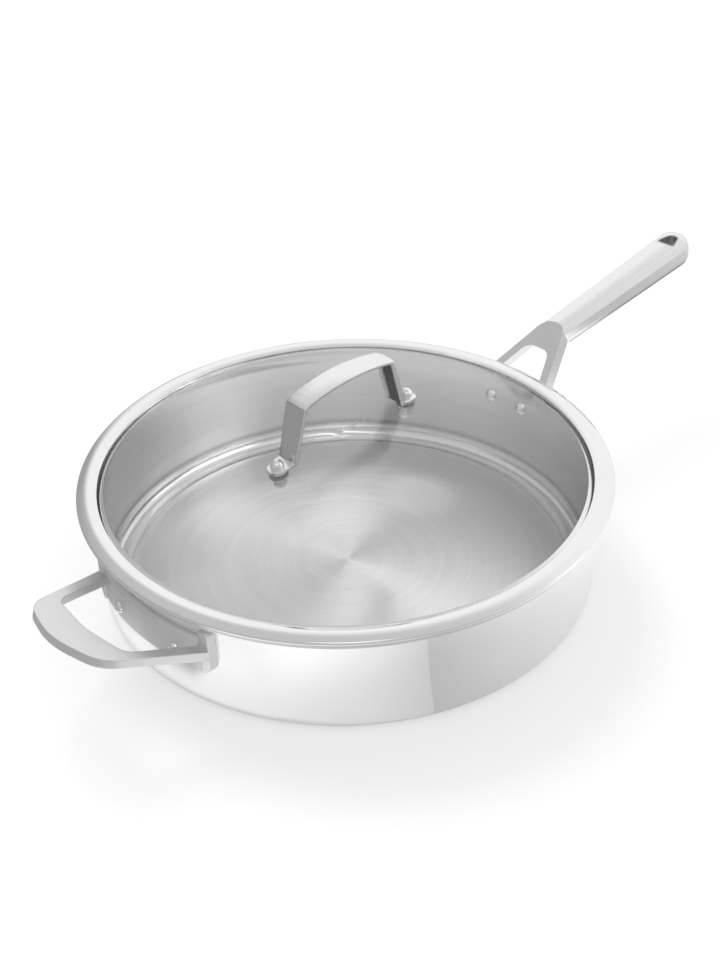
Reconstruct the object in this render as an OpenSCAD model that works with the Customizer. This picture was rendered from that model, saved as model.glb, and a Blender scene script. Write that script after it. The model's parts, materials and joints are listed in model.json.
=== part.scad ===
// Covered saute pan with a long handle, a helper handle and a domed glass lid.
// Millimetres. The origin is the centre of the base's underside, +Z is up,
// and the long handle points along +X.

/* [Pan] */
// Inside diameter of the straight wall
pan_inner_d = 300; // [240:1:340]
// Height of the rim above the table
pan_h = 70; // [62:1:110]
// Thickness of the inner stainless layer
inner_layer_t = 0.5; // [0.3:0.05:0.8]
// Thickness of the aluminium core
core_t = 1.8; // [1.2:0.1:2.4]
// Thickness of the outer stainless layer
outer_layer_t = 0.5; // [0.3:0.05:0.8]
// Inside radius where the floor turns up into the wall
corner_r = 5.5; // [3:0.5:16]
// Radius of the outward flare under the rim
flare_r = 9; // [7.5:0.5:11]
// Width of the flat landing at the rim
landing_w = 2; // [1.5:0.25:3]
// Rise of the floor inside its outer ring
floor_lift = 0.7; // [0.3:0.1:1]
// Radius of the raised floor as a share of the inside radius
floor_share = 0.913; // [0.8:0.005:0.92]

/* [Lid] */
// Height of the glass dome above the inner edge of its band
dome_h = 29.4; // [20:0.2:45]
// Thickness of the glass
glass_t = 4; // [3.2:0.2:4.6]
// Width of the steel band seen from above
band_w = 12.4; // [11:0.2:15]
// Height of the band's crown above its seat
band_h = 4.4; // [4:0.2:6]
// Sheet thickness of the band
band_sheet_t = 0.6; // [0.4:0.1:0.8]
// How far the band reaches past the pan's rim
band_overhang = 2; // [1.6:0.2:4]
// Lift of the lid clear of the rim when it is closed
seat_gap = 0.2; // [0.1:0.05:0.4]

/* [Lid handle] */
// Distance between the two lid bolts
bolt_spacing = 107.2; // [96:0.2:130]
// Height of the grip's top above the top of the dome
lid_grip_h = 39.4; // [34:0.2:52]
// Length of the grip between its bends
lid_grip_len = 75.2; // [60:0.2:80]
// Rise of the grip between its bends
lid_grip_bow = 4.6; // [3:0.2:8]
// Width of the grip at its middle
lid_grip_w = 16.6; // [16:0.2:20]
// Width of the strap at its bends
lid_bend_w = 15.6; // [13:0.2:16]
// Width of the legs at the feet
lid_foot_w = 13; // [12:0.2:13]
// Thickness of the strap along its middle
strap_t = 2.8; // [2.6:0.1:4]
// Fall of the strap's outer face from its middle to its rims
strap_crown = 1; // [0.4:0.1:1.4]
// Width of the channel along the strap's inner side
channel_w = 10; // [5:0.2:10]
// Depth of that channel
channel_d = 1.2; // [0.8:0.1:1.6]
// Thickness of each foot
foot_t = 1.8; // [1.4:0.1:3]
// Shank diameter of the lid bolts
bolt_d = 5; // [4:0.5:6]
// Head diameter of the lid bolts
bolt_head_d = 8.2; // [8:0.2:11]
// Head height of the lid bolts
bolt_head_h = 4.8; // [3.6:0.2:5.2]
// Thickness of the rubber under each foot
grommet_t = 1; // [0.6:0.1:1.6]
// Thickness of the rubber below the glass
gasket_t = 1.2; // [0.8:0.1:2]
// Thickness of the steel washers below the glass
washer_t = 1.2; // [0.8:0.1:2]
// Size of the cap nuts across the flats
nut_af = 8; // [7:0.5:10]
// Height of the six-sided part of the cap nuts
nut_h = 4; // [3:0.5:6]

/* [Handle bracket] */
// Rise of the bracket's face above level, in degrees
bracket_slope = 33.5; // [28:0.5:38]
// Length of the bracket's face outside the lid band
bracket_len = 42.5; // [36:0.5:48]
// Width over the legs beside the lid band
bracket_root_w = 44.2; // [40:0.2:48]
// Width of the bracket's end before it is rounded
bracket_tip_w = 16; // [14:0.2:18]
// Depth of the bracket's outer skirts
skirt_d = 10.5; // [8:0.5:12]
// Thickness of the bracket's face and skirts
bracket_wall = 2.5; // [2:0.1:3]
// Length of the window outside the lid band
window_len = 21.5; // [18:0.5:24]
// Width of the window beside the lid band
window_root_w = 32.6; // [28:0.2:34]
// Width of the window's far end before it is rounded
window_tip_w = 17.4; // [14:0.2:18]
// Radius of the window's far corners
window_r = 8; // [3:0.5:8]
// Thickness of the pad that is riveted to the wall
pad_t = 3.2; // [2.4:0.2:4]
// Width of that pad
pad_w = 56; // [54:1:64]
// Height of that pad
pad_h = 24; // [20:0.5:26]

/* [Handle grip] */
// Length of the grip along its top
grip_len = 151.5; // [120:0.5:190]
// Upward pitch of the grip, in degrees
grip_pitch = 7.3; // [4:0.1:10]
// Width between the creases at the bracket
grip_top_w = 14.6; // [13:0.2:17]
// Greatest width at the bracket
grip_side_w = 17.8; // [17:0.2:21]
// Drop of the bevel below each crease at the bracket
grip_bevel_h = 4.4; // [3:0.2:6]
// Height at the bracket
grip_h = 18; // [16:0.2:22]
// Size at the far end as a multiple of the size at the bracket
grip_flare = 1.28; // [1.1:0.01:1.35]
// Wall thickness of the hollow grip
grip_wall = 1.5; // [1:0.1:2]
// Length of the bracket's tang inside the grip
tang_len = 30; // [20:1:50]
// Length of the hanging hole's sides before its corners are rounded
hang_len = 24; // [20:0.5:26]
// Width of the hanging hole before its corners are rounded
hang_w = 16; // [12:0.2:17]
// Distance from the hanging hole's rounded point to the grip's end
hang_inset = 7; // [6:0.5:12]
// Wall thickness of the hanging hole's liner
liner_t = 1; // [0.8:0.1:1.4]

/* [Helper handle] */
// Angle of the helper handle off the line of the long handle, in degrees
helper_swing = -2; // [-5:0.5:5]
// Upward tilt of the loop, in degrees
helper_tilt = 16.7; // [10:0.5:22]
// Depth of the loop's top face below the rim, where it meets the wall
helper_drop = 20.6; // [16:0.2:23]
// Reach of the loop along its top face
helper_len = 63.2; // [56:0.2:80]
// Width over the arms at the wall
helper_root_w = 100.8; // [90:0.2:110]
// Width over the loop's outer corners before they are rounded
helper_tip_w = 68.6; // [62:0.2:74]
// Width of the arms
helper_arm_w = 8; // [6:0.2:9]
// Depth of the loop's outer bar at its middle
helper_bar_w = 21.8; // [16:0.2:26]
// Thickness of the loop
helper_t = 5.2; // [4.4:0.2:7]
// Thickness of the arms where they meet the plate
helper_root_t = 5.8; // [5.2:0.2:8]
// Radius of the loop's outer corners
helper_corner_r = 20; // [12:1:24]
// Thickness of the plate on the wall
plate_t = 3.8; // [3:0.2:5]
// Height of the plate
plate_h = 22; // [20:0.5:24]
// Depth of the plate's underside below the rim
plate_drop = 38.5; // [37:0.5:41]
// Height of the end webs above the plate's top
ear_h = 7; // [4:0.5:8]
// Width of the end webs
ear_w = 6.5; // [5:0.5:8]

/* [Rivets] */
// Shank diameter of the rivets
rivet_d = 5; // [4:0.5:6]
// Head diameter of the long handle's rivets
rivet_head_d = 9.2; // [7.6:0.2:10]
// Head diameter of the helper handle's rivets
helper_head_d = 8.4; // [7.6:0.2:10]
// Head height of the rivets
rivet_head_h = 3; // [2:0.2:3.6]
// Distance between the long handle's rivets
bracket_rivet_gap = 26; // [22:0.5:29]
// Depth of the long handle's rivets below the rim
bracket_rivet_drop = 18.2; // [15:0.2:24]
// Distance between the helper handle's rivets
helper_rivet_gap = 52.2; // [36:0.2:72]
// Height of the helper handle's rivets above the plate's underside
helper_rivet_up = 7.4; // [6.6:0.2:9]

/* [Hidden] */

// Overrun that carries every cut past the face it opens
over = 2;
// Clearance between pieces that are pressed or welded together
fit_gap = 0.05;
// Thickness of the slabs that carry an outline to a hull
slab_t = 0.02;
// Facets of a full circle on the large turned pieces and on the small ones
$fn = 180;
small_fn = 48;
// Angle between the points that draw a rounded corner, in degrees, and the
// radius above which the points come closer
arc_step = 7.5;
arc_fine_r = 10;

// Pan
inner_r = pan_inner_d / 2;
floor_r = inner_r * floor_share;
floor_slope_w = 6;
sheet_t = inner_layer_t + core_t + outer_layer_t;
wall_r = inner_r + sheet_t;
rim_r = inner_r + flare_r + landing_w;
rim_under_z = pan_h - sheet_t;

// Lid band: a crown arc that runs into a small bead at the outer edge
seat_z = pan_h + seat_gap;
band_r = rim_r + band_overhang;
band_in_r = band_r - band_w;
crown_share = 0.42;
band_mid_r = band_in_r + band_w * crown_share;
bead_share = 0.33;
bead_r = band_h * bead_share;
bead_c = [band_r - bead_r, seat_z + bead_r];
bead_rise = band_h - bead_r;
bead_dx = bead_c[0] - band_mid_r;
crown_r = (pow(bead_dx, 2) + pow(bead_rise, 2) - pow(bead_r, 2)) / (2 * (bead_rise - bead_r));
crown_c = [band_mid_r, seat_z + band_h - crown_r];
// Height of the crown arc at the band's inner edge
lip_z = crown_c[1] + sqrt(pow(crown_r, 2) - pow(band_mid_r - band_in_r, 2));

// Glass dome: part of a sphere that passes under the band's inner edge
glass_lip_z = lip_z - band_sheet_t - fit_gap;
dome_r = (pow(band_in_r, 2) + pow(dome_h, 2)) / (2 * dome_h);
dome_c = glass_lip_z + dome_h - dome_r;
dome_top = glass_lip_z + dome_h;
dome_in_r = dome_r - glass_t;
// Bite of the band over the glass and under it
bite_over_share = 0.155;
bite_under_share = 0.38;
glass_edge_a = asin((band_in_r + band_w * bite_over_share) / dome_r);
under_lip_a = asin((band_in_r - (band_w * bite_under_share - band_w * bite_over_share)) / dome_r);
gap_a = asin(fit_gap / dome_r);
channel_a = asin(band_sheet_t / dome_r);

// Lid bolts: each stands square on the dome
bolt_a = asin(bolt_spacing / 2 / dome_r);
grommet_flange_r = bolt_head_d / 2 + bolt_d / 3;
glass_hole_r = bolt_d / 2 + grommet_t + fit_gap;
// How far the curved inner face of the glass falls away under a flat washer
dome_sag = dome_in_r - sqrt(pow(dome_in_r, 2) - pow(grommet_flange_r, 2));
gasket_top = -glass_t - dome_sag - fit_gap;
washer_top = gasket_top - gasket_t;
nut_top = washer_top - washer_t;
nut_cap_r = nut_af / 2 - fit_gap;
bolt_end = nut_top - nut_h;

// Lid handle's outline, seen from the side
grip_top_z = dome_top + lid_grip_h;
grip_bend_z = grip_top_z - lid_grip_bow;
foot_z = dome_c + (dome_r + grommet_t + foot_t) * cos(bolt_a);
leg_foot_share = 0.875;
leg_foot_s = bolt_spacing / 2 * leg_foot_share;
bend_r = strap_t * 1.5;
crown_steps = 5;
// The grip's arc meets straight runs of about equal slope before each bend
bow_a = atan(2 * lid_grip_bow / (lid_grip_len / 2));
bow_share = 0.9;
crown_bow_r = bow_share * lid_grip_len / 2 / sin(bow_a);
foot_r = bolt_head_d / 2 + strap_t / 3;
foot_reach = foot_r + strap_t / 2.5;
bolt_dome_share = 0.6;

// Bracket's face: starts just outside the lid band, at the height of the rim
bracket_clear = 1.6;
bracket_s0 = band_r + bracket_clear;
bracket_taper = (bracket_root_w - bracket_tip_w) / 2 / bracket_len;
window_taper = (window_root_w - window_tip_w) / 2 / window_len;
bracket_back = (bracket_s0 - wall_r) / cos(bracket_slope) + skirt_d;
bracket_end_r = bracket_tip_w / 2 / tan((90 - atan(bracket_taper)) / 2);
// Solid part of the bracket behind its window
neck_share = 0.68;
bracket_rivet_z = pan_h - bracket_rivet_drop;
pad_top_z = bracket_rivet_z + pad_h * 0.4;
pad_corner_r = pad_h / 4;
pad_r = wall_r + fit_gap;

// Grip: the top of its crown meets the point of the bracket's face
grip_crown = grip_h / 18;
grip_back = bracket_len * 0.24;
grip_s0 = bracket_s0 + bracket_len * cos(bracket_slope) - grip_back * cos(grip_pitch);
grip_z0 = pan_h + bracket_len * sin(bracket_slope) - grip_back * sin(grip_pitch) - grip_crown;
grip_edge_r = grip_h / 20;
grip_belly_r = grip_side_w / 2 * 0.97;
grip_end_r = grip_h * 0.55;
nose_steps = 4;
nose_end_a = 66;
hang_corner_r = hang_w / 7;
hang_bulge = hang_w / 7;
hang_tip_r = hang_w / 3;
hang_half_a = atan(hang_w / 2 / hang_len);
hang_point = grip_len - hang_inset + hang_tip_r * (1 / sin(hang_half_a) - 1);

// Helper handle
helper_s0 = wall_r;
helper_z = pan_h - helper_drop;
plate_z = pan_h - plate_drop;
helper_in_len = helper_len - helper_bar_w;
helper_shoulder_share = 0.875;
helper_peak_share = 1.036;
helper_in_shoulder_share = 0.913;
helper_in_peak_share = 1.03;
helper_in_corner_r = helper_corner_r / 2;
plate_r = pad_r + plate_t;
plate_half_w = helper_root_w / 2 + ear_w / 5;
plate_a = asin(plate_half_w / plate_r);
plate_corner_r = plate_h / 4;
ear_a = ear_w / plate_r * 180 / PI;
ear_proud = plate_t / 3;
helper_rivet_z = plate_z + helper_rivet_up;
helper_rivet_a = asin(helper_rivet_gap / 2 / plate_r);
bracket_rivet_a = asin(bracket_rivet_gap / 2 / wall_r);

// Finish colours
polished = [0.80, 0.80, 0.80];
brushed = [0.70, 0.70, 0.70];
satin = [0.62, 0.62, 0.62];
dull_metal = [0.74, 0.75, 0.77];
clear_glass = [0.80, 0.86, 0.86, 0.4];
pale_silicone = [0.85, 0.86, 0.85];

// Outline helpers
function unit(v) = v / norm(v);
function turn_left(v) = [-v[1], v[0]];

// Points of the arc that rounds the corner b between a and c
function corner(a, b, c, r) =
  let (
    d1 = unit(b - a),
    d2 = unit(c - b),
    bend = d1[0] * d2[1] - d1[1] * d2[0],
    angle = atan2(abs(bend), d1 * d2),
    side = sign(bend),
    start = b - d1 * r * tan(angle / 2),
    centre = start + turn_left(d1) * r * side,
    steps = max(1, ceil(angle / arc_step * max(1, sqrt(r / arc_fine_r)))),
    first = atan2(start[1] - centre[1], start[0] - centre[0])
  )
  r == 0 ? [b] : [for (i = [0:steps]) centre + r * [cos(first + side * angle * i / steps),
                                                    sin(first + side * angle * i / steps)]];

// Closed outline through the corners pts, each rounded by its own radius
function rounded(pts, radii) =
  let (n = len(pts))
  [for (i = [0:n - 1]) each corner(pts[(i + n - 1) % n], pts[i], pts[(i + 1) % n], radii[i])];

// Corners of an anticlockwise outline moved inwards by d
function inset(pts, d) =
  let (n = len(pts))
  [for (i = [0:n - 1])
    let (
      n1 = turn_left(unit(pts[i] - pts[(i + n - 1) % n])),
      n2 = turn_left(unit(pts[(i + 1) % n] - pts[i]))
    )
    pts[i] + d * (n1 + n2) / (1 + n1 * n2)];

function less(radii, d) = [for (r = radii) max(0, r - d)];

// Turned profile of everything inside one surface of the pan's sheet, which lies
// off millimetres outside the cooking surface and rises by lift under the floor
module pan_inside(off, lift) {
  arc_z = pan_h - flare_r;
  floor_top = sheet_t + corner_r;
  arc_x = inner_r + flare_r;
  flat_w = inner_r - corner_r;
  translate([0, floor_top])
    square([inner_r + off, pan_h + over - floor_top]);
  translate([0, sheet_t - off])
    difference() {
      square([flat_w, corner_r + off]);
      if (lift > 0)
        polygon([[-over, -over], [-over, lift], [floor_r - floor_slope_w / 2, lift],
                 [floor_r + floor_slope_w / 2, 0], [floor_r + floor_slope_w / 2, -over]]);
    }
  intersection() {
    translate([flat_w, floor_top])
      circle(r = corner_r + off);
    translate([flat_w, sheet_t - off])
      square(corner_r + off);
  }
  difference() {
    translate([inner_r + off, arc_z])
      square([rim_r - inner_r - off, pan_h + over - arc_z]);
    translate([arc_x, arc_z])
      circle(r = flare_r - off);
    translate([arc_x, arc_z])
      square([landing_w + over, flare_r - off]);
  }
}

// Placement at a rivet: the local X axis points outwards through the wall
module at_rivets(swing, angle, z) {
  for (side = [-1, 1])
    rotate([0, 0, swing + side * angle])
      translate([0, 0, z])
        children();
}

module rivet_holes(d) {
  reach = flare_r + plate_t;
  for (spot = [[0, bracket_rivet_a, bracket_rivet_z],
               [180 + helper_swing, helper_rivet_a, helper_rivet_z]])
    at_rivets(spot[0], spot[1], spot[2])
      translate([inner_r - reach, 0, 0])
        rotate([0, 90, 0])
          cylinder(h = 2 * reach + sheet_t, d = d, $fn = small_fn);
}

module sheet_layer(off_in, off_out, lift_in, lift_out) {
  difference() {
    rotate_extrude()
      difference() {
        pan_inside(off_out, lift_out);
        pan_inside(off_in, lift_in);
      }
    rivet_holes(rivet_d + 2 * fit_gap);
  }
}

module inner_steel_layer() {
  color(brushed)
    sheet_layer(0, inner_layer_t, floor_lift, floor_lift);
}

module aluminium_core() {
  color(dull_metal)
    sheet_layer(inner_layer_t, inner_layer_t + core_t, floor_lift, 0);
}

module outer_steel_layer() {
  color(polished)
    sheet_layer(inner_layer_t + core_t, sheet_t, 0, 0);
}

// Domed head that stands on z = 0
module domed_head(d, h) {
  ball_r = (pow(d / 2, 2) + pow(h, 2)) / (2 * h);
  rotate_extrude($fn = small_fn)
    intersection() {
      translate([0, h - ball_r])
        circle(r = ball_r, $fn = 2 * small_fn);
      square([d, h]);
    }
}

// Head with a short straight side below its dome
module button_head(d, h) {
  dome = h * bolt_dome_share;
  ball_r = (pow(d / 2, 2) + pow(dome, 2)) / (2 * dome);
  rotate_extrude($fn = small_fn)
    intersection() {
      translate([0, h - ball_r])
        circle(r = ball_r, $fn = 2 * small_fn);
      square([d / 2, h]);
    }
}

// Rivet from the cooking surface to a face at radius out_r
module rivet(out_r, head_d) {
  head_sag = inner_r - sqrt(pow(inner_r, 2) - pow(head_d / 2, 2));
  in_x = inner_r - head_sag;
  rotate([0, 90, 0]) {
    translate([0, 0, in_x - rivet_head_h / 2])
      cylinder(h = out_r - in_x + rivet_head_h, d = rivet_d, $fn = small_fn);
    translate([0, 0, out_r])
      domed_head(head_d, rivet_head_h);
    translate([0, 0, in_x])
      mirror([0, 0, 1])
        domed_head(head_d, rivet_head_h);
  }
}

module bracket_rivets() {
  color(polished)
    at_rivets(0, bracket_rivet_a, bracket_rivet_z)
      rivet(pad_r + pad_t, rivet_head_d);
}

module helper_rivets() {
  color(polished)
    at_rivets(180 + helper_swing, helper_rivet_a, helper_rivet_z)
      rivet(plate_r, helper_head_d);
}

// Frame of the bracket's face: X runs up the face and Z stands square to it
module bracket_frame() {
  translate([bracket_s0, 0, pan_h])
    rotate([0, -bracket_slope, 0])
      children();
}

function bracket_corners() =
  let (
    root = bracket_root_w / 2 + bracket_back * bracket_taper,
    tip = bracket_tip_w / 2
  )
  [[-bracket_back, -root], [bracket_len, -tip], [bracket_len, tip], [-bracket_back, root]];

bracket_radii = [0, bracket_end_r, bracket_end_r, 0];

function window_corners() =
  let (
    reach = 2 * bracket_back,
    root = window_root_w / 2 + reach * window_taper,
    tip = window_tip_w / 2
  )
  [[-reach, -root], [window_len, -tip], [window_len, tip], [-reach, root]];

module bracket_outline(d) {
  polygon(rounded(inset(bracket_corners(), d), less(bracket_radii, d)));
}

module bracket_window() {
  translate([0, 0, -skirt_d - over])
    linear_extrude(skirt_d + 2 * over)
      polygon(rounded(window_corners(), [0, window_r, window_r, 0]));
}

// Hollow underside between the skirts, closed towards the grip
module bracket_pocket() {
  depth = skirt_d - bracket_wall + over;
  translate([0, 0, -bracket_wall - depth])
    linear_extrude(depth)
      intersection() {
        bracket_outline(bracket_wall);
        translate([-bracket_back, -bracket_root_w])
          square([bracket_back + bracket_len * neck_share, 2 * bracket_root_w]);
      }
}

// Curved pad on the wall, with rounded corners
module bracket_pad() {
  half = pad_w / 2;
  bottom = pad_top_z - pad_h;
  intersection() {
    cylinder(h = pan_h, r = pad_r + pad_t);
    translate([pad_r * cos(asin(half / pad_r)) - over, 0, 0])
      rotate([90, 0, 90])
        linear_extrude(pad_w)
          polygon(rounded([[-half, bottom], [half, bottom], [half, pad_top_z], [-half, pad_top_z]],
                          [for (i = [1:4]) pad_corner_r]));
  }
}

// Room for the flared rim above the bracket's root
module rim_room() {
  gap = bracket_clear;
  translate([0, 0, rim_under_z - gap])
    cylinder(h = pan_h, r = rim_r + gap);
}

// Tang that fills the start of the grip and stays below the bracket's face
module bracket_tang() {
  difference() {
    grip_frame()
      grip_body(grip_wall + fit_gap, 0, tang_len);
    bracket_frame()
      linear_extrude(grip_h)
        bracket_outline(-over);
  }
}

module handle_bracket() {
  color(satin)
    difference() {
      union() {
        difference() {
          bracket_frame()
            translate([0, 0, -skirt_d])
              linear_extrude(skirt_d)
                bracket_outline(0);
          bracket_frame()
            bracket_window();
          bracket_frame()
            bracket_pocket();
        }
        bracket_pad();
        bracket_tang();
      }
      rim_room();
      cylinder(h = pan_h, r = pad_r);
      rivet_holes(rivet_d + 2 * fit_gap);
    }
}

// Frame of the grip: X runs along its top, between the creases
module grip_frame() {
  translate([grip_s0, 0, grip_z0])
    rotate([0, -grip_pitch, 0])
      children();
}

// Cross-section of the grip where its size is k times that at the bracket
grip_corners = [
  [0, grip_crown], [-grip_top_w / 2, 0], [-grip_side_w / 2, -grip_bevel_h],
  [-grip_side_w / 2, -grip_h], [grip_side_w / 2, -grip_h],
  [grip_side_w / 2, -grip_bevel_h], [grip_top_w / 2, 0]
];
grip_radii = [
  grip_h, grip_edge_r, grip_edge_r, grip_belly_r, grip_belly_r, grip_edge_r, grip_edge_r
];

function grip_size(x) = 1 + (grip_flare - 1) * x / grip_len;

module grip_slab(x, d) {
  k = grip_size(x);
  translate([x, 0, 0])
    rotate([90, 0, 90])
      linear_extrude(slab_t)
        polygon(rounded(inset(grip_corners * k, d), less(grip_radii * k, d)));
}

// Grip between two places along it, made smaller by d all round
module grip_body(d, from, to) {
  hull() {
    grip_slab(from, d);
    grip_slab(to - slab_t, d);
  }
}

// Outline of the far end at one height, moved inwards by d
module grip_end(z, d) {
  edge = grip_side_w / 2 * grip_flare - d;
  r = max(slab_t, grip_end_r - d);
  start = grip_len - 1.2 * grip_end_r;
  translate([0, 0, z])
    linear_extrude(slab_t)
      polygon(rounded([[start, -edge], [grip_len - d, -edge], [grip_len - d, edge], [start, edge]],
                      [0, r, r, 0]));
}

// Whole grip, made smaller by d all round: the bevels and the belly turn round its far end
module grip_shape(d) {
  bevel_in = (grip_side_w - grip_top_w) / 2 * grip_flare;
  belly = grip_belly_r * grip_flare;
  hull() {
    grip_slab(-grip_side_w, d);
    grip_slab(grip_len - 1.2 * grip_end_r, d);
    grip_end(-slab_t - d, d + bevel_in);
    grip_end(-grip_bevel_h * grip_flare - d, d);
    for (i = [0:nose_steps]) {
      turn = nose_end_a * i / nose_steps;
      grip_end(-grip_h * grip_flare + d + (belly - d) * (1 - sin(turn)),
               d + (belly - d) * (1 - cos(turn)));
    }
  }
}

// Rounded triangle of the hanging hole, made larger by d
module hang_outline(d) {
  half = hang_w / 2;
  pts = [[-hang_len, -half], [0, 0], [-hang_len, half], [-hang_len - hang_bulge, 0]];
  translate([hang_point, 0])
    polygon(rounded(inset(pts, -d),
                    [hang_corner_r + d, hang_tip_r + d, hang_corner_r + d, hang_w + d]));
}

module handle_grip() {
  depth = grip_h * grip_flare;
  color(polished)
    difference() {
      grip_frame()
        difference() {
          grip_shape(0);
          grip_shape(grip_wall);
          translate([0, 0, -depth - over])
            linear_extrude(2 * depth)
              hang_outline(0);
        }
      bracket_frame()
        translate([0, 0, -2 * depth])
          linear_extrude(4 * depth)
            bracket_outline(-fit_gap);
    }
}

module hang_hole_liner() {
  depth = grip_h * grip_flare;
  color(satin)
    grip_frame()
      intersection() {
        grip_shape(0);
        translate([0, 0, -depth - over])
          linear_extrude(2 * depth)
            difference() {
              hang_outline(-fit_gap);
              hang_outline(-liner_t);
            }
      }
}

// Helper handle: frame of the loop's top face, with X pointing away from the pan
module helper_frame() {
  rotate([0, 0, 180 + helper_swing])
    translate([helper_s0, 0, helper_z])
      rotate([0, -helper_tilt, 0])
        children();
}

function helper_outer() =
  let (
    back = helper_t * 2,
    root = helper_root_w / 2,
    tip = helper_tip_w / 2,
    shoulder = helper_len * helper_shoulder_share,
    peak = helper_len * helper_peak_share,
    taper = (root - tip) / shoulder
  )
  [[-back, -root - back * taper], [shoulder, -tip], [peak, 0],
   [shoulder, tip], [-back, root + back * taper]];

function helper_inner() =
  let (
    back = helper_t * 3,
    root = helper_root_w / 2 - helper_arm_w,
    tip = helper_tip_w / 2 - helper_arm_w * 0.3,
    shoulder = helper_in_len * helper_in_shoulder_share,
    peak = helper_in_len * helper_in_peak_share,
    taper = (root - tip) / shoulder
  )
  [[-back, -root - back * taper], [shoulder, -tip], [peak, 0],
   [shoulder, tip], [-back, root + back * taper]];

module helper_loop() {
  reach = helper_len * 2;
  bow_r = helper_root_w / 2;
  fade = helper_len / 3;
  half = plate_half_w - fit_gap;
  intersection() {
    translate([-fade, -half, -reach / 2])
      cube([reach, 2 * half, reach]);
    translate([0, 0, -reach / 2])
      linear_extrude(reach)
        difference() {
          polygon(rounded(helper_outer(), [0, helper_corner_r, bow_r, helper_corner_r, 0]));
          polygon(rounded(helper_inner(),
                          [0, helper_in_corner_r, bow_r, helper_in_corner_r, 0]));
        }
    rotate([90, 0, 0])
      translate([0, 0, -reach / 2])
        linear_extrude(reach)
          polygon([[-fade, 0], [-fade, -helper_root_t], [0, -helper_root_t],
                   [fade, -helper_t], [reach, -helper_t], [reach, 0]]);
  }
}

// Curved plate with a bevelled top edge, and a raised web at each end
module helper_plate() {
  bevel = plate_t / 2;
  half = plate_half_w;
  top = plate_z + plate_h + ear_h;
  bottom = plate_z - over;
  sweep = plate_a + ear_a / 2;
  rotate([0, 0, 180 + helper_swing])
    intersection() {
      union() {
        rotate([0, 0, -sweep])
          rotate_extrude(angle = 2 * sweep)
            polygon([[pad_r - over, bottom], [plate_r, bottom],
                     [plate_r, plate_z + plate_h - bevel], [plate_r - bevel, plate_z + plate_h],
                     [pad_r - over, plate_z + plate_h]]);
        for (start = [-sweep, plate_a - ear_a])
          rotate([0, 0, start])
            rotate_extrude(angle = sweep - plate_a + ear_a)
              translate([pad_r - over, bottom])
                square([plate_t + ear_proud + over, top + over - bottom]);
      }
      rotate([90, 0, 90])
        linear_extrude(2 * plate_r)
          polygon(rounded([[-half, plate_z], [half, plate_z], [half, top], [-half, top]],
                          [plate_corner_r, plate_corner_r, bevel, bevel]));
    }
}

module helper_handle() {
  color(satin)
    difference() {
      union() {
        helper_frame()
          helper_loop();
        helper_plate();
      }
      cylinder(h = pan_h, r = pad_r);
      rivet_holes(rivet_d + 2 * fit_gap);
    }
}

// Part of a ring about the dome's centre, between two radii and two angles from the axis
module dome_sector(r_in, r_out, a_in, a_out) {
  reach = 2 * r_out;
  translate([0, dome_c])
    intersection() {
      difference() {
        circle(r = r_out, $fn = 4 * $fn);
        circle(r = r_in, $fn = 4 * $fn);
      }
      polygon([[0, 0], reach * [sin(a_in), cos(a_in)], reach * [sin(a_out), cos(a_out)]]);
    }
}

// Placement at a lid bolt: Z = 0 is the outer face of the glass
module at_bolts() {
  for (side = [-1, 1])
    translate([0, 0, dome_c])
      rotate([0, side * bolt_a, 0])
        translate([0, 0, dome_r])
          children();
}

module lid_glass() {
  color(clear_glass)
    difference() {
      rotate_extrude()
        dome_sector(dome_in_r, dome_r, 0, glass_edge_a);
      at_bolts()
        translate([0, 0, -glass_t - over])
          cylinder(h = glass_t + 2 * over, r = glass_hole_r, $fn = small_fn);
    }
}

// Half-round crown above the seat, made smaller by d all round
module band_crown(d) {
  reach = 2 * crown_r;
  tangent = unit(bead_c - crown_c);
  intersection() {
    translate(crown_c)
      circle(r = crown_r - d);
    polygon([[band_in_r + d, seat_z + d], [bead_c[0], seat_z + d], bead_c,
             crown_c + reach * tangent, [band_in_r + d, crown_c[1] + reach]]);
  }
  translate(bead_c)
    circle(r = bead_r - d);
}

module lid_band() {
  wrap_a = glass_edge_a + gap_a + channel_a;
  color(polished)
    rotate_extrude()
      difference() {
        union() {
          difference() {
            band_crown(0);
            band_crown(band_sheet_t);
          }
          dome_sector(dome_in_r - fit_gap - band_sheet_t, dome_in_r, under_lip_a, wrap_a);
          intersection() {
            dome_sector(dome_in_r - fit_gap - band_sheet_t, dome_r, glass_edge_a, wrap_a);
            square([2 * band_r, seat_z + band_sheet_t]);
          }
        }
        dome_sector(dome_in_r - fit_gap, dome_r + fit_gap, 0, glass_edge_a + gap_a);
      }
}

// Corners of the lid handle seen from the side, legs open at the bottom
function strap_corners() =
  let (
    top = lid_grip_len / 2,
    lean = (leg_foot_s - top) / (grip_bend_z - foot_z),
    bottom = foot_z - foot_t,
    foot = leg_foot_s + foot_t * lean,
    peak = grip_top_z + lid_grip_bow
  )
  [[-foot, bottom], [foot, bottom], [top, grip_bend_z], [0, peak], [-top, grip_bend_z]];

module strap_outline(d) {
  pts = inset(strap_corners(), d);
  low = foot_z - foot_t - strap_t;
  polygon(rounded([[pts[0][0], low], [pts[1][0], low], pts[1], pts[2], pts[3], pts[4], pts[0]],
                  [0, 0, 0, bend_r - d, crown_bow_r - d, bend_r - d, 0]));
}

// Everything inside the strap's outline made smaller by d, drawn out to a width
module strap_core(d, width) {
  rotate([90, 0, 0])
    translate([0, 0, -width / 2])
      linear_extrude(width)
        strap_outline(d);
}

// Outer form of the strap: crowned across its width
module strap_envelope() {
  hull()
    for (i = [-crown_steps:crown_steps])
      translate([0, lid_grip_w / 2 * i / crown_steps, 0])
        strap_core(strap_crown * pow(i / crown_steps, 2), slab_t);
}

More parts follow.
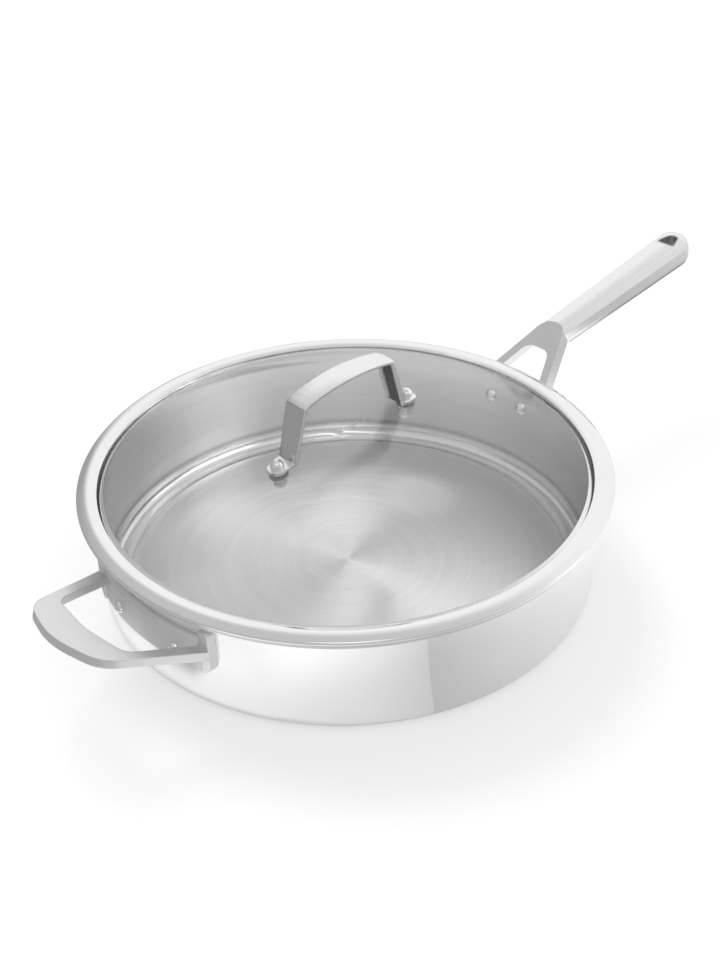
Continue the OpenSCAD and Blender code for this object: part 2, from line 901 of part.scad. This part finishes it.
// Outline of the strap from above: widest in its middle, its legs narrowing to the feet
module strap_plan() {
  end = leg_foot_s + strap_t;
  bend = lid_grip_len / 2;
  half = [lid_foot_w, lid_bend_w, lid_grip_w] / 2;
  polygon(rounded([[-end, -half[0]], [-bend, -half[1]], [0, -half[2]],
                   [bend, -half[1]], [end, -half[0]],
                   [end, half[0]], [bend, half[1]], [0, half[2]],
                   [-bend, half[1]], [-end, half[0]]],
                  [0, bend, bolt_spacing, bend, 0, 0, bend, bolt_spacing, bend, 0]));
}

module lid_foot() {
  back = bolt_spacing / 2 - leg_foot_s + strap_t / 2;
  translate([0, 0, grommet_t])
    linear_extrude(foot_t)
      polygon(rounded([[-back, -lid_foot_w / 2], [-foot_r / 2, -lid_foot_w / 2],
                       [foot_reach, -foot_r], [foot_reach, foot_r],
                       [-foot_r / 2, lid_foot_w / 2], [-back, lid_foot_w / 2]],
                      [0, foot_r, foot_r, foot_r, foot_r, 0]));
}

module lid_handle() {
  color(polished)
    difference() {
      union() {
        intersection() {
          strap_envelope();
          translate([0, 0, dome_c + dome_in_r])
            linear_extrude(grip_top_z)
              strap_plan();
        }
        translate([0, 0, dome_c])
          for (side = [0, 180])
            rotate([0, 0, side])
              rotate([0, bolt_a, 0])
                translate([0, 0, dome_r])
                  lid_foot();
      }
      strap_core(strap_t, lid_grip_w + 2 * over);
      strap_core(strap_t - channel_d, channel_w);
      translate([0, 0, dome_c])
        sphere(r = dome_r + grommet_t, $fn = 4 * $fn);
      at_bolts()
        cylinder(h = strap_t * 3, d = bolt_d + 2 * fit_gap, $fn = small_fn);
    }
}

module lid_bolts() {
  color(polished)
    at_bolts() {
      translate([0, 0, bolt_end])
        cylinder(h = grommet_t + foot_t + bolt_head_h / 2 - bolt_end, d = bolt_d,
                 $fn = small_fn);
      translate([0, 0, grommet_t + foot_t])
        button_head(bolt_head_d, bolt_head_h);
    }
}

// Rubber ring under each foot, with a sleeve through the glass
module lid_grommets() {
  color(pale_silicone)
    at_bolts()
      difference() {
        union() {
          cylinder(h = grommet_t - fit_gap, r = grommet_flange_r, $fn = small_fn);
          translate([0, 0, -glass_t])
            cylinder(h = glass_t + fit_gap, r = glass_hole_r - fit_gap, $fn = small_fn);
        }
        translate([0, 0, -glass_t - over])
          cylinder(h = glass_t + grommet_t + 2 * over, d = bolt_d + 2 * fit_gap, $fn = small_fn);
      }
}

module flat_ring(top, t, r) {
  translate([0, 0, top - t])
    difference() {
      cylinder(h = t, r = r, $fn = small_fn);
      translate([0, 0, -over])
        cylinder(h = t + 2 * over, d = bolt_d + 2 * fit_gap, $fn = small_fn);
    }
}

module lid_gaskets() {
  color(pale_silicone)
    at_bolts()
      flat_ring(gasket_top, gasket_t, grommet_flange_r);
}

module lid_washers() {
  color(brushed)
    at_bolts()
      flat_ring(washer_top, washer_t, nut_af / 2 + washer_t);
}

// Six-sided nut with a domed cap
module lid_nuts() {
  color(polished)
    at_bolts()
      difference() {
        union() {
          translate([0, 0, nut_top - nut_h])
            cylinder(h = nut_h, d = nut_af / cos(30), $fn = 6);
          translate([0, 0, nut_top - nut_h])
            sphere(r = nut_cap_r, $fn = small_fn);
        }
        translate([0, 0, bolt_end - fit_gap])
          cylinder(h = nut_h + over, d = bolt_d + 2 * fit_gap, $fn = small_fn);
      }
}

inner_steel_layer();
aluminium_core();
outer_steel_layer();
handle_bracket();
bracket_rivets();
handle_grip();
hang_hole_liner();
helper_handle();
helper_rivets();
lid_glass();
lid_band();
lid_handle();
lid_bolts();
lid_grommets();
lid_gaskets();
lid_washers();
lid_nuts();
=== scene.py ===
# Covered saute pan: materials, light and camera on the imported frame. Metres throughout.
import json
import math

import bpy
from mathutils import Matrix, Vector

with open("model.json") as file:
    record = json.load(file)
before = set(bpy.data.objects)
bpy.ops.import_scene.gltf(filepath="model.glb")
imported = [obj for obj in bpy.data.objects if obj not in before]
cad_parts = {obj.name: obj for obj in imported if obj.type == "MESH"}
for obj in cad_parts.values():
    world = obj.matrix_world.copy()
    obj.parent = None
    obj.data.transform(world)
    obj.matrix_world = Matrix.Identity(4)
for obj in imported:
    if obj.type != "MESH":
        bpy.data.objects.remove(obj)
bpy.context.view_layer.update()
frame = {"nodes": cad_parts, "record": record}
NODES = frame["nodes"]
MM = 0.001
UP = Vector((0.0, 0.0, 1.0))
WHITE = (1.0, 1.0, 1.0, 1.0)

# Turn about Z from the viewer's level frame, X to the right and Y away, to the part's frame
VIEW_TURN = math.radians(-43.1)
# Camera place in the viewer's frame, its angles and its lens, fitted to the photograph's outlines
CAM_POS = Vector((0.0, -0.79244, 0.60656))
CAM_PAN = math.radians(0.635)
CAM_PITCH = math.radians(34.367)
CAM_ROLL = math.radians(-1.926)
CAM_LENS = 58.80
CAM_SENSOR = 36.0
CAM_CLIP = (0.01, 50.0)
# Sharpest angle in degrees between two faces that still shade as one smooth surface
SMOOTH_ANGLE = 28


def heading(degrees):
    """Level direction as the viewer sees it: 0 is to the right and 90 is away."""
    angle = math.radians(degrees)
    return Matrix.Rotation(VIEW_TURN, 3, "Z") @ Vector((math.cos(angle), math.sin(angle), 0.0))


def lifted(degrees, rise):
    """Direction at a heading and at a rise above the floor, both in degrees."""
    lift = math.radians(rise)
    return heading(degrees) * math.cos(lift) + UP * math.sin(lift)


def add_camera():
    """Camera at the place, angle and lens of the photograph."""
    forward = Vector((math.sin(CAM_PAN) * math.cos(CAM_PITCH),
                      math.cos(CAM_PAN) * math.cos(CAM_PITCH),
                      -math.sin(CAM_PITCH)))
    level = Vector((math.cos(CAM_PAN), -math.sin(CAM_PAN), 0.0))
    upright = level.cross(forward)
    right = level * math.cos(CAM_ROLL) + upright * math.sin(CAM_ROLL)
    up = upright * math.cos(CAM_ROLL) - level * math.sin(CAM_ROLL)
    data = bpy.data.cameras.new("camera")
    data.lens = CAM_LENS
    data.sensor_width = CAM_SENSOR
    data.sensor_fit = "AUTO"
    data.clip_start, data.clip_end = CAM_CLIP
    cam = bpy.data.objects.new("camera", data)
    bpy.context.scene.collection.objects.link(cam)
    axes = Matrix((right, up, -forward)).transposed().to_4x4()
    cam.matrix_world = Matrix.Rotation(VIEW_TURN, 4, "Z") @ Matrix.Translation(CAM_POS) @ axes
    bpy.context.scene.camera = cam


class Graph:
    """Short way to add and join the nodes of a material or of the world."""

    def __init__(self, tree):
        self.tree = tree

    def put(self, socket, value):
        if isinstance(value, bpy.types.NodeSocket):
            self.tree.links.new(value, socket)
        else:
            socket.default_value = value

    def add(self, kind, inputs=None, **settings):
        node = self.tree.nodes.new(kind)
        for key, value in settings.items():
            setattr(node, key, value)
        for key, value in (inputs or {}).items():
            self.put(node.inputs[key], value)
        return node

    def math(self, operation, a, b=0.0):
        return self.add("ShaderNodeMath", {0: a, 1: b}, operation=operation).outputs[0]

    def times(self, first, *others):
        for other in others:
            first = self.math("MULTIPLY", first, other)
        return first

    def mix(self, share, a, b):
        """Number between a and b, at a share from 0 to 1."""
        return self.add("ShaderNodeMix", {0: share, 2: a, 3: b}, data_type="FLOAT").outputs[0]

    def toward(self, spot, direction):
        """Distance of a spot along a direction."""
        node = self.add("ShaderNodeVectorMath", {0: spot, 1: direction}, operation="DOT_PRODUCT")
        return node.outputs["Value"]

    def ramp(self, value, start, end, low=0.0, high=1.0, kind="LINEAR"):
        """Goes from low to high while the value goes from start to end, and stays there."""
        return self.add("ShaderNodeMapRange",
                        {"Value": value, "From Min": start, "From Max": end,
                         "To Min": low, "To Max": high},
                        interpolation_type=kind).outputs[0]

    def step(self, value, start, end, low=0.0, high=1.0):
        """A ramp with soft ends."""
        return self.ramp(value, start, end, low, high, "SMOOTHSTEP")

    def bell(self, value, middle, width):
        """1 at the middle, fading softly to both sides."""
        off = self.math("DIVIDE", self.math("SUBTRACT", value, middle), width)
        return self.math("POWER", math.e, self.times(off, off, -1.0))


# Values between which most of a noise lies
NOISE_RANGE = (0.25, 0.75)


class Shader(Graph):
    """One material with its main shader."""

    def __init__(self, name):
        self.material = bpy.data.materials.new(name)
        self.material.use_nodes = True
        super().__init__(self.material.node_tree)
        self.bsdf = self.tree.nodes["Principled BSDF"]

    def set(self, **values):
        for key, value in values.items():
            self.put(self.bsdf.inputs[key.replace("_", " ")], value)

    def spot(self):
        return self.add("ShaderNodeTexCoord").outputs["Object"]

    def place(self):
        """X, Y and Z of the shaded spot."""
        return self.add("ShaderNodeSeparateXYZ", {0: self.spot()}).outputs

    def facing(self):
        """X, Y and Z of the direction that the surface faces."""
        normal = self.add("ShaderNodeTexCoord").outputs["Normal"]
        return self.add("ShaderNodeSeparateXYZ", {0: normal}).outputs

    def vector(self, x, y, z):
        return self.add("ShaderNodeCombineXYZ", {0: x, 1: y, 2: z}).outputs[0]

    def noise(self, vector, scale, detail, rough, w=None):
        inputs = {"Vector": vector, "Scale": scale, "Detail": detail, "Roughness": rough}
        if w is not None:
            inputs["W"] = w
        return self.add("ShaderNodeTexNoise", inputs,
                        noise_dimensions="3D" if w is None else "4D").outputs[0]

    def span(self, noise, low, high):
        """Spreads a noise from low to high."""
        return self.ramp(noise, *NOISE_RANGE, low, high)

    def tint(self, share, first, second):
        """Colour between two others, at a share from 0 to 1."""
        node = self.add("ShaderNodeMix", {0: share, 6: first, 7: second}, data_type="RGBA")
        return node.outputs[2]

    def greys(self, noise, low, high):
        """Grey that follows a noise from the low tone to the high one."""
        return self.tint(self.span(noise, 0.0, 1.0), grey(low), grey(high))

    def bump(self, height, strength=1.0, distance=1.0, normal=None):
        inputs = {"Height": height, "Strength": strength, "Distance": distance}
        if normal is not None:
            inputs["Normal"] = normal
        return self.add("ShaderNodeBump", inputs).outputs[0]

    def soft_edges(self, radius):
        return self.add("ShaderNodeBevel", {"Radius": radius}, samples=6).outputs[0]

    def round_tangent(self):
        """Direction round the pan's axis."""
        return self.add("ShaderNodeTangent", direction_type="RADIAL", axis="Z").outputs[0]


def grey(level):
    return (level, level, level, 1.0)


# Detail and roughness of the noise in drawn lines, in smudges and in fine grain
LINE_NOISE = {"detail": 3.0, "rough": 0.6}
SMUDGE_NOISE = {"detail": 3.0, "rough": 0.55}
GRAIN_NOISE = {"detail": 2.0, "rough": 0.6}
SOFT_GRAIN_NOISE = {"detail": 2.0, "rough": 0.5}
# Turn that stretches highlights across the lines of a round surface, as a share of a circle
QUARTER_TURN = 0.25


def axis_radius(s):
    """Distance from the pan's axis."""
    x, y, _ = s.place()
    return s.math("SQRT", s.math("ADD", s.times(x, x), s.times(y, y)))


def spun_lines(s, along, across):
    """Noise drawn out into circles about the pan's axis."""
    x, y, z = s.place()
    radius = axis_radius(s)
    safe = s.math("MAXIMUM", radius, MM)
    vector = s.vector(s.times(s.math("DIVIDE", x, safe), along),
                      s.times(s.math("DIVIDE", y, safe), along),
                      s.times(z, across))
    return s.noise(vector, 1.0, **LINE_NOISE, w=s.times(radius, across))


def straight_lines(s, along, across):
    """Noise drawn out into lines along the long handle."""
    x, y, z = s.place()
    vector = s.vector(s.times(x, along), s.times(y, across), s.times(z, across))
    return s.noise(vector, 1.0, **LINE_NOISE)


def smudges(s, scale):
    return s.noise(s.spot(), scale, **SMUDGE_NOISE)


# Inside of the pan: its tones and roughness, and how far it stretches highlights
COOKING_TONES = (0.80, 0.95)
COOKING_ROUGHNESS = (0.34, 0.44)
COOKING_STRETCH = 0.9
# Its lines, fine, broad and wide: how much they wander along and how many lie across
COOKING_FINE = (2.0, 5200.0)
COOKING_BROAD = (1.2, 700.0)
COOKING_WIDE = (0.9, 170.0)
FINE_SHARE = 0.6
# Fall of the base from its centre outwards, and its shallow raised ring: radius, width, height
BASE_FALL = 0.02
BASE_RING = (138 * MM, 3 * MM, 1 * MM)
# Corner of the base, which is smoother than the rest: inner and outer radius, top and share
CORNER = (131 * MM, 136 * MM, 12 * MM)
CORNER_GLOSS = 0.55
# Darker band painted on the wall above the corner, a painted dark reflection: height, width,
# depth of the darkening and tone
WALL_SHADE_BAND = (12.5 * MM, 2.6 * MM, 0.5, grey(0.2))


def base_rise(s):
    """Height of the base's inside above a flat one: a slight crown and one low ring."""
    radius = axis_radius(s)
    middle, width, height = BASE_RING
    ring = s.times(s.bell(radius, middle, width), height)
    return s.math("SUBTRACT", ring, s.times(radius, BASE_FALL))


def corner_gloss(s):
    """Share of the roughness that stays: 1 but in the corner of the base."""
    start, end, top = CORNER
    low = s.math("LESS_THAN", s.place()["Z"], top)
    corner = s.ramp(axis_radius(s), start, end)
    return s.math("SUBTRACT", 1.0, s.times(low, corner, CORNER_GLOSS))


def painted_wall_shade(s, bright):
    """Colour of the inside with the dark reflection band painted on the wall."""
    middle, width, depth, tone = WALL_SHADE_BAND
    wall = s.math("GREATER_THAN", axis_radius(s), CORNER[1])
    line = s.bell(s.place()["Z"], middle, width)
    return s.tint(s.times(line, wall, depth), bright, tone)


def cooking_steel():
    """Inside of the pan: spun lines that stretch each highlight across them, and a dark
    reflection band painted on the wall.
    """
    s = Shader("cooking_steel")
    broad = spun_lines(s, *COOKING_BROAD)
    lines = s.math("ADD", s.times(spun_lines(s, *COOKING_FINE), FINE_SHARE),
                   s.times(broad, 1.0 - FINE_SHARE))
    wide = s.times(s.math("ADD", spun_lines(s, *COOKING_WIDE), broad), 0.5)
    s.set(Base_Color=painted_wall_shade(s, s.greys(wide, *COOKING_TONES)),
          Metallic=1.0,
          Roughness=s.times(corner_gloss(s), s.span(lines, *COOKING_ROUGHNESS)),
          Anisotropic=COOKING_STRETCH,
          Anisotropic_Rotation=QUARTER_TURN,
          Tangent=s.round_tangent(),
          Normal=s.bump(lines, strength=0.2, distance=0.04 * MM, normal=s.bump(base_rise(s))))
    return s.material


# Cut edge of the core: its colour and roughness
CORE_COLOUR = (0.74, 0.75, 0.77, 1.0)
CORE_ROUGHNESS = (0.35, 0.5)


def core_metal():
    """Cut edge of the aluminium core."""
    s = Shader("core_metal")
    lines = spun_lines(s, along=3.0, across=3000.0)
    s.set(Base_Color=CORE_COLOUR, Metallic=1.0,
          Roughness=s.span(lines, *CORE_ROUGHNESS),
          Normal=s.bump(lines, strength=0.2, distance=0.03 * MM))
    return s.material


# Outer wall and lid band: tones and roughness, and how far they stretch highlights
POLISHED_TONES = (0.88, 0.92)
POLISHED_ROUGHNESS = (0.05, 0.09)
POLISHED_STRETCH = 0.3
# Rolled lines on the lid band: number per metre, strength, and the height they start at
BAND_LINES = 620.0
BAND_LINE_DEPTH = 14.0
BAND_START = 72 * MM


def band_lines(s):
    """Faint rolled lines round the lid band, above the rim of the pan."""
    lines = spun_lines(s, along=0.8, across=BAND_LINES)
    above = s.math("GREATER_THAN", s.place()["Z"], BAND_START)
    return s.times(lines, above, BAND_LINE_DEPTH)


def polished_steel():
    """Outer wall and lid band: bright, with faint polishing lines round the pan."""
    s = Shader("polished_steel")
    cloud = smudges(s, scale=14.0)
    lines = s.math("ADD", spun_lines(s, along=2.5, across=2600.0), band_lines(s))
    s.set(Base_Color=s.greys(cloud, *POLISHED_TONES),
          Metallic=1.0,
          Roughness=s.span(cloud, *POLISHED_ROUGHNESS),
          Anisotropic=POLISHED_STRETCH,
          Anisotropic_Rotation=QUARTER_TURN,
          Tangent=s.round_tangent(),
          Normal=s.bump(lines, strength=0.05, distance=0.02 * MM,
                        normal=s.soft_edges(0.3 * MM)))
    return s.material


# Cast pieces: their tones and roughness
SATIN_TONES = (0.76, 0.82)
SATIN_ROUGHNESS = (0.32, 0.40)
# Where the sleeve in the grip's hole starts along the handle, and its darker tone
LINER_START = 0.29
LINER_TONE = grey(0.66)


def satin_steel():
    """Cast bracket, helper handle and liner: even satin with a fine grain."""
    s = Shader("satin_steel")
    grain = s.noise(s.spot(), scale=2600.0, **GRAIN_NOISE)
    cloud = smudges(s, scale=30.0)
    liner = s.math("GREATER_THAN", s.place()["X"], LINER_START)
    s.set(Base_Color=s.tint(liner, s.greys(cloud, *SATIN_TONES), LINER_TONE),
          Metallic=1.0,
          Roughness=s.span(cloud, *SATIN_ROUGHNESS),
          Normal=s.bump(grain, strength=0.10, distance=0.03 * MM,
                        normal=s.soft_edges(0.7 * MM)))
    return s.material


# Grip and lid handle: their tones and roughness
HANDLE_TONES = (0.86, 0.90)
HANDLE_ROUGHNESS = (0.15, 0.21)
# Where the grip starts, how fast its top falls off to its sides, and the shade painted on its
# underside
GRIP_START = 0.15
GRIP_CROWN = 12.0
UNDERSIDE_TURN = -0.25
UNDERSIDE_SHADE_TONE = grey(0.42)
# How far the lid handle reaches to both sides of the pan's axis
LID_HANDLE_REACH = 60 * MM
# Shade painted on the outer faces of its legs: how far they face outwards, and the tone of that
# painted shade
LEG_TURN = 0.8
LEG_SHADE_TONE = grey(0.60)
# Its hollow, darkened nearly to black: half width, how far it faces down and inwards, and its
# tone
CHANNEL_HALF = 4.9 * MM
CHANNEL_TURN = -0.5
CHANNEL_TONE = grey(0.16)


def on_lid_handle(s):
    """1 on the lid handle and 0 on the grip."""
    return s.math("LESS_THAN", s.math("ABSOLUTE", s.place()["X"]), LID_HANDLE_REACH)


def facing_outward(s):
    """How far the surface faces away from the middle of the lid handle."""
    return s.times(s.math("SIGN", s.place()["X"]), s.facing()["X"])


def shaded_outer_leg(s):
    """1 on the outer faces of the lid handle's legs, where shade is painted."""
    return s.times(s.math("GREATER_THAN", facing_outward(s), LEG_TURN), on_lid_handle(s))


def inside_channel(s):
    """1 on the hollow side of the lid handle's strap."""
    middle = s.math("LESS_THAN", s.math("ABSOLUTE", s.place()["Y"]), CHANNEL_HALF)
    turned = s.math("LESS_THAN", s.math("ADD", s.facing()["Z"], facing_outward(s)),
                    CHANNEL_TURN)
    return s.times(middle, on_lid_handle(s), turned)


def grip_underside_shade(s):
    """1 on the underside of the grip, where shade is painted."""
    return s.times(s.math("LESS_THAN", s.facing()["Z"], UNDERSIDE_TURN),
                   s.math("GREATER_THAN", s.place()["X"], GRIP_START))


def grip_crown(s):
    """Fall of the grip's top to both sides, which shades it from white to grey."""
    x, y, _ = s.place()
    return s.times(y, y, -GRIP_CROWN, s.math("GREATER_THAN", x, GRIP_START))


def handle_steel():
    """Grip and lid handle: lines along the grip, a soft sheen, painted shade on the grip's
    underside and the legs' outer faces, and a near-black hollow.
    """
    s = Shader("handle_steel")
    lines = straight_lines(s, along=60.0, across=3600.0)
    cloud = smudges(s, scale=25.0)
    colour = s.greys(cloud, *HANDLE_TONES)
    # Painted shade on the grip's underside and on the legs' outer faces, then the near-black
    # hollow
    for zone, tone in ((grip_underside_shade, UNDERSIDE_SHADE_TONE), (shaded_outer_leg, LEG_SHADE_TONE),
                       (inside_channel, CHANNEL_TONE)):
        colour = s.tint(zone(s), colour, tone)
    s.set(Base_Color=colour,
          Metallic=1.0,
          Roughness=s.span(cloud, *HANDLE_ROUGHNESS),
          Normal=s.bump(lines, strength=0.07, distance=0.02 * MM,
                        normal=s.bump(grip_crown(s), normal=s.soft_edges(1.1 * MM))))
    return s.material


# Rivets, bolts, washers and nuts: their tone and roughness
RIVET_TONE = grey(0.90)
RIVET_ROUGHNESS = (0.10, 0.18)


def rivet_steel():
    """Rivets, bolts, washers and nuts: turned and polished."""
    s = Shader("rivet_steel")
    grain = s.noise(s.spot(), scale=900.0, **GRAIN_NOISE)
    s.set(Base_Color=RIVET_TONE, Metallic=1.0,
          Roughness=s.span(grain, *RIVET_ROUGHNESS),
          Normal=s.bump(grain, strength=0.12, distance=0.03 * MM,
                        normal=s.soft_edges(0.3 * MM)))
    return s.material


# Glass of the lid: tone and refraction
GLASS_TONE = grey(0.99)
GLASS_IOR = 1.40


def lid_glass():
    """Clear tempered glass with a faint ripple."""
    s = Shader("lid_glass")
    ripple = smudges(s, scale=12.0)
    s.set(Base_Color=GLASS_TONE, Roughness=0.0, IOR=GLASS_IOR,
          Transmission_Weight=1.0,
          Normal=s.bump(ripple, strength=0.03, distance=0.2 * MM))
    return s.material


# Silicone rings: darkest and lightest colour, roughness, refraction and share let through
SILICONE_COLOURS = ((0.86, 0.87, 0.86, 1.0), (0.92, 0.93, 0.92, 1.0))
SILICONE_ROUGHNESS = 0.45
SILICONE_IOR = 1.41
SILICONE_CLEAR = 0.2


def pale_silicone():
    """Milky rings and sleeves at the lid bolts."""
    s = Shader("pale_silicone")
    grain = s.noise(s.spot(), scale=700.0, **SOFT_GRAIN_NOISE)
    s.set(Base_Color=s.tint(s.span(grain, 0.0, 1.0), *SILICONE_COLOURS),
          Roughness=SILICONE_ROUGHNESS, Transmission_Weight=SILICONE_CLEAR, IOR=SILICONE_IOR,
          Normal=s.bump(grain, strength=0.1, distance=0.05 * MM))
    return s.material


MAKERS = {
    "cooking_steel": cooking_steel, "core_metal": core_metal, "polished_steel": polished_steel,
    "satin_steel": satin_steel, "handle_steel": handle_steel, "rivet_steel": rivet_steel,
    "lid_glass": lid_glass, "pale_silicone": pale_silicone,
}


def dress_nodes():
    """Gives every CAD node its material and smooth shading that keeps its creases."""
    made = {}
    for part in frame["record"]["subparts"]:
        slot = part["material_slot"]
        if slot not in made:
            made[slot] = MAKERS[slot]()
        obj = NODES[part["node"]]
        obj.data.materials.clear()
        obj.data.materials.append(made[slot])
        obj.data.shade_smooth()
        obj.data.set_sharp_from_angle(angle=math.radians(SMOOTH_ANGLE))


# The floor: half its width, how far it lies below the part, and its own tone and finish
FLOOR_HALF = 8.0
FLOOR_DROP = 0.3 * MM
FLOOR_TONE = 0.70
FLOOR_ROUGHNESS = 0.9
FLOOR_SPECULAR = 0.1
# White that it adds for the eye and glass, and for metal
FLOOR_LIFT = 0.42
METAL_LIFT = 0.57
# Painted shade on the floor that only metal shows, past a distance: heading, start, end and the
# tone beyond
DIM_FLOOR_SHADE = ((180, 0.140, 0.185, 0.38), (-90, 0.222, 0.242, 0.45))
# Shade beside the grip: heading, start, end and tone, then its far start, far end and far tone
GRIP_SHADE = (45, 0.30, 0.35, 0.48, 0.42, 0.60, 0.68)
# Shade under the helper handle: heading, start, end, side start, side end and tone
HELPER_SHADE = (-137, 0.163, 0.182, 0.012, 0.028, 0.42)
# Shade at the foot of the wall: its inner and outer radius and its tone
FOOT_SHADE = (0.148, 0.162, 0.55)
# Painted soft shadow streak on the floor beside the pan that the metal shows: a point on it and
# its heading
SHADOW_STREAK_POINT = heading(-72.5) * 0.155
SHADOW_STREAK_TURN = -60
# How far each side of the painted shadow streak takes to fade, right and left, and its tone at
# the streak's middle
SHADOW_STREAK_SIDES = ((0.24, 0.55), (-0.11, 0.66))


def floor_tone(s):
    """Painted shade on the floor that only metal shows: white near the pan, duller to the left
    and in front.
    """
    spot = s.spot()

    def until(turn, start, end, low):
        """1 up to a distance along a heading, and the low tone beyond its end."""
        return s.step(s.toward(spot, heading(turn)), start, end, 1.0, low)

    tone = 1.0
    for row in DIM_FLOOR_SHADE:
        tone = s.math("MINIMUM", tone, until(*row))

    turn, start, end, low, far_start, far_end, far = GRIP_SHADE
    beyond = s.ramp(s.toward(spot, heading(turn)), far_start, far_end, low, far)
    shade = s.math("MAXIMUM", beyond, until(turn, start, end, low))
    tone = s.math("MINIMUM", tone, shade)

    turn, start, end, side_start, side_end, low = HELPER_SHADE
    outside = s.math("SUBTRACT", 1.0, until(turn, start, end, 0.0))
    beside = until(turn + 90, side_start, side_end, 0.0)
    shade = s.math("SUBTRACT", 1.0, s.times(beside, outside, 1.0 - low))
    tone = s.math("MINIMUM", tone, shade)

    inner, outer, low = FOOT_SHADE
    tone = s.math("MINIMUM", tone, s.ramp(axis_radius(s), inner, outer, low, 1.0))

    across = heading(SHADOW_STREAK_TURN + 90)
    past = s.math("SUBTRACT", s.toward(spot, across), SHADOW_STREAK_POINT.dot(across))
    right, left = (s.ramp(past, 0.0, fade, low, 1.0) for fade, low in SHADOW_STREAK_SIDES)
    shadow_streak = s.mix(s.math("GREATER_THAN", past, 0.0), left, right)
    return s.math("MINIMUM", tone, shadow_streak)


def floor_material():
    """Pale floor that keeps the shadow and turns white where it is clear of it; metal sees
    painted shade on it.
    """
    s = Shader("floor")
    path = s.add("ShaderNodeLightPath")
    metal = path.outputs["Is Glossy Ray"]
    shown = s.math("MAXIMUM", path.outputs["Is Camera Ray"],
                   s.math("MAXIMUM", path.outputs["Is Transmission Ray"], metal))
    painted_dimming = s.times(metal, s.math("SUBTRACT", 1.0, floor_tone(s)))
    keep = s.math("SUBTRACT", 1.0, painted_dimming)
    lift = s.math("ADD", FLOOR_LIFT, s.times(metal, METAL_LIFT - FLOOR_LIFT))
    tone = s.times(keep, FLOOR_TONE)
    s.set(Base_Color=s.vector(tone, tone, tone), Roughness=FLOOR_ROUGHNESS,
          Specular_IOR_Level=FLOOR_SPECULAR,
          Emission_Color=WHITE, Emission_Strength=s.times(shown, s.times(keep, lift)))
    return s.material


def add_floor():
    """Level floor just below the part."""
    mesh = bpy.data.meshes.new("floor")
    corners = [(x * FLOOR_HALF, y * FLOOR_HALF, 0)
               for x, y in ((-1, -1), (1, -1), (1, 1), (-1, 1))]
    mesh.from_pydata(corners, [], [(0, 1, 2, 3)])
    mesh.materials.append(floor_material())
    floor = bpy.data.objects.new("floor", mesh)
    floor.location.z = -FLOOR_DROP
    bpy.context.scene.collection.objects.link(floor)


# Light that the studio gives matt surfaces
SKY_LEVEL = 0.72
# Tones that metal shows: dim left wall, dim camera side, bright right and back, plain top
LEFT_TONE = 0.38
FRONT_TONE = 0.50
BRIGHT_TONE = 0.97
TOP_TONE = 0.58
# How the tone passes from the left wall to the camera side, up the dim wall and to the top
FRONT_FADE = (-0.2, 0.8)
WALL_FADE = (0.25, 0.8)
TOP_FADE = (0.62, 1.05)
# Headings square to the edges of the bright side, and how soft each edge is
LEFT_EDGE = (20, -0.12, 0.16)
RIGHT_EDGE = (70, -0.65, 0.65)
# Small bright lamps that only metal shows: heading, rise, half width in degrees and strength
LAMPS = ((-90, 60, 15, 0.9), (11, 31, 12, 0.7))
# The same for metal under the glass, where the lamps draw fans and rings
INNER_LAMPS = ((90, 57, 8, 2.4), (73, 50, 7, 2.4), (-25, 28, 24, 1.9), (-62, 58, 24, 0.15))
# Part of a lamp's half width, one in this number, that has its full strength
LAMP_CORE = 3
# Soft sun: heading, rise, level on the floor and width in degrees
SUN = (118, 48, 0.2, 30)


def lamps(w, spot, rows):
    """Sum of round lamps with soft edges."""
    total = 0.0
    for turn, rise, half, strength in rows:
        glow = w.step(w.toward(spot, lifted(turn, rise)), math.cos(math.radians(half)),
                      math.cos(math.radians(half / LAMP_CORE)))
        total = w.math("ADD", total, w.times(glow, strength))
    return total


def metal_tone(w, spot, behind_glass):
    """What metal shows of the studio: a bright right and back, dimmer sides and lamps."""
    height = w.toward(spot, UP)
    front = w.step(w.toward(spot, heading(-90)), *FRONT_FADE)
    dim = w.mix(w.step(height, *WALL_FADE), w.mix(front, LEFT_TONE, FRONT_TONE), TOP_TONE)
    bright = w.times(*(w.step(w.toward(spot, heading(turn)), start, end)
                       for turn, start, end in (LEFT_EDGE, RIGHT_EDGE)))
    tone = w.mix(w.step(height, *TOP_FADE), w.mix(bright, dim, BRIGHT_TONE), TOP_TONE)
    tone = w.math("ADD", tone, lamps(w, spot, LAMPS))
    return w.math("ADD", tone, w.times(behind_glass, lamps(w, spot, INNER_LAMPS)))


def add_world():
    """Plain studio: white to the eye, plain for matt surfaces, and with tones for metal."""
    world = bpy.data.worlds.new("studio")
    bpy.context.scene.world = world
    world.use_nodes = True
    world.node_tree.nodes.clear()
    w = Graph(world.node_tree)
    spot = w.add("ShaderNodeTexCoord").outputs["Generated"]
    path = w.add("ShaderNodeLightPath")
    glass, matt, metal = (w.math("MINIMUM", path.outputs[f"{kind} Depth"], 1.0)
                          for kind in ("Transmission", "Diffuse", "Glossy"))
    plain = w.mix(matt, 1.0, SKY_LEVEL)
    level = w.mix(metal, plain, metal_tone(w, spot, glass))
    back = w.add("ShaderNodeBackground", {"Color": WHITE, "Strength": level})
    w.add("ShaderNodeOutputWorld", {0: back.outputs[0]})


def add_sun(turn, rise, level, spread):
    """Broad soft light from a heading, which gives the floor a level and casts the shadow."""
    data = bpy.data.lights.new("soft_sun", "SUN")
    data.energy = math.pi * level / math.sin(math.radians(rise))
    data.angle = math.radians(spread)
    lamp = bpy.data.objects.new("soft_sun", data)
    lamp.rotation_mode = "QUATERNION"
    lamp.rotation_quaternion = lifted(turn, rise).to_track_quat("Z", "Y")
    lamp.visible_glossy = False
    lamp.visible_transmission = False
    bpy.context.scene.collection.objects.link(lamp)


add_camera()
add_floor()
add_world()
add_sun(*SUN)
dress_nodes()

scene = bpy.context.scene
scene.view_settings.view_transform = "Standard"
